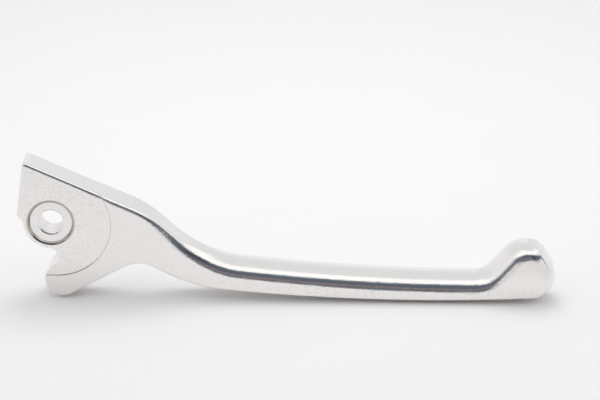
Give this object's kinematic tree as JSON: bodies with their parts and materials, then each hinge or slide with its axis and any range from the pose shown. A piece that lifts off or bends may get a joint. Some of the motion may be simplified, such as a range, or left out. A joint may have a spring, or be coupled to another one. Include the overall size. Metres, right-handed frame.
{
  "type": "brake lever",
  "caption": "Curved cast hand lever with a pivot eye, a rounded nose that pushes a brake piston, and a ball end.",
  "frame": {"origin": "centre of the pivot bore at mid-thickness", "axes": "+X along the lever to the ball end, +Y along the pivot axis, +Z to the finger side"},
  "size_m": [0.1738, 0.0126, 0.0461],
  "materials": {
    "aluminium": "polished casting with a fine satin grain"
  },
  "bodies": {
    "root": {"brake_lever": "aluminium"}
  },
  "joints": []
}
